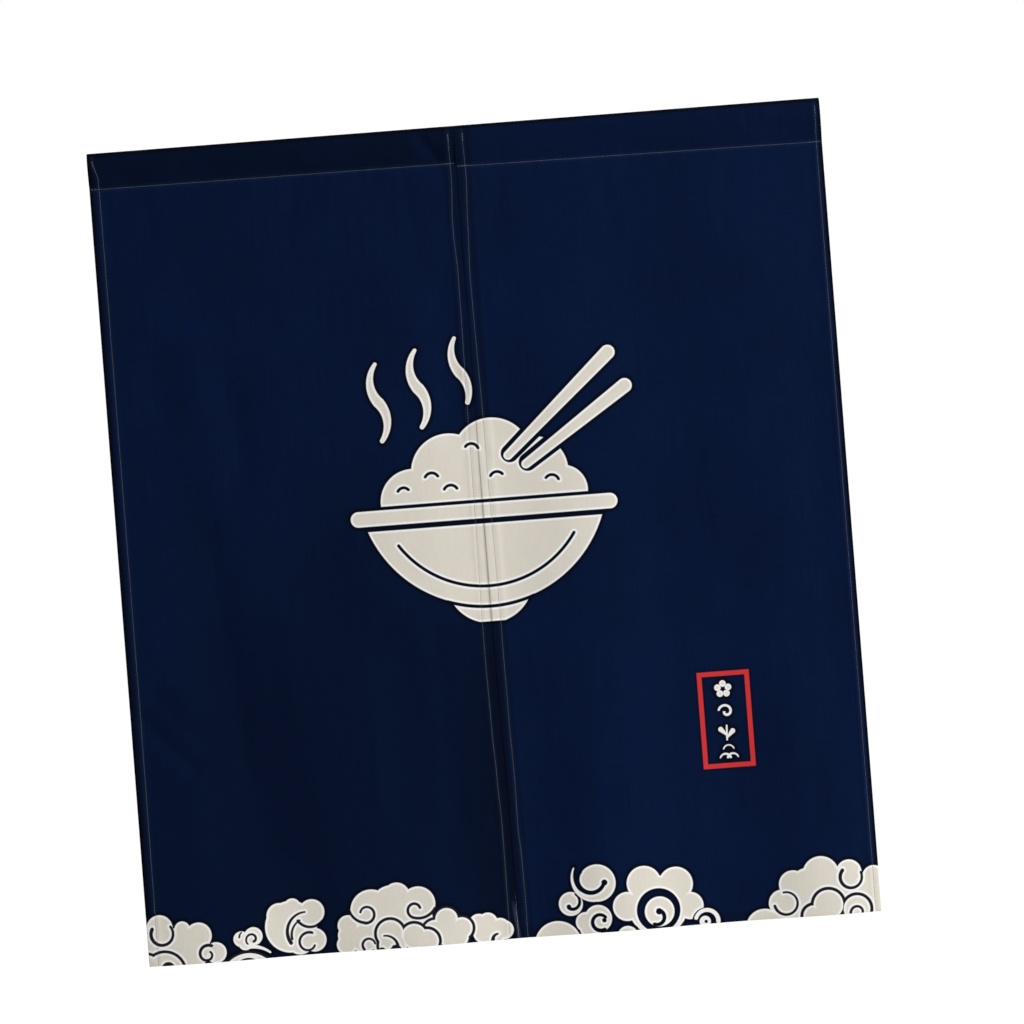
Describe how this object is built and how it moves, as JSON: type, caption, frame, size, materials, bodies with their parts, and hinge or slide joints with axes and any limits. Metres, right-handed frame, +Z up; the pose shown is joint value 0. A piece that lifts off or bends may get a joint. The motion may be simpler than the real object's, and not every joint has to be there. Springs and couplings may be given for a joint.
{
  "type": "noren curtain",
  "caption": "Split doorway curtain in dark blue cotton: panels joined above a slit, hemmed sides and foot, a sewn rod pocket on top, and a cream cloud border.",
  "frame": {"origin": "middle of the top edge of the rod pocket, where the curtain is held up", "axes": "+Z up along the drop, +X across the width to the right as seen from the front, -Y towards the viewer of the printed front"},
  "size_m": [0.81, 0.016, 0.9001],
  "materials": {
    "cloth": "plain weave cotton dyed dark blue, printed in cream and red, matt",
    "thread": "grey blue sewing thread"
  },
  "bodies": {
    "root": {"panel_left": "cloth", "panel_right": "cloth"}
  },
  "joints": []
}
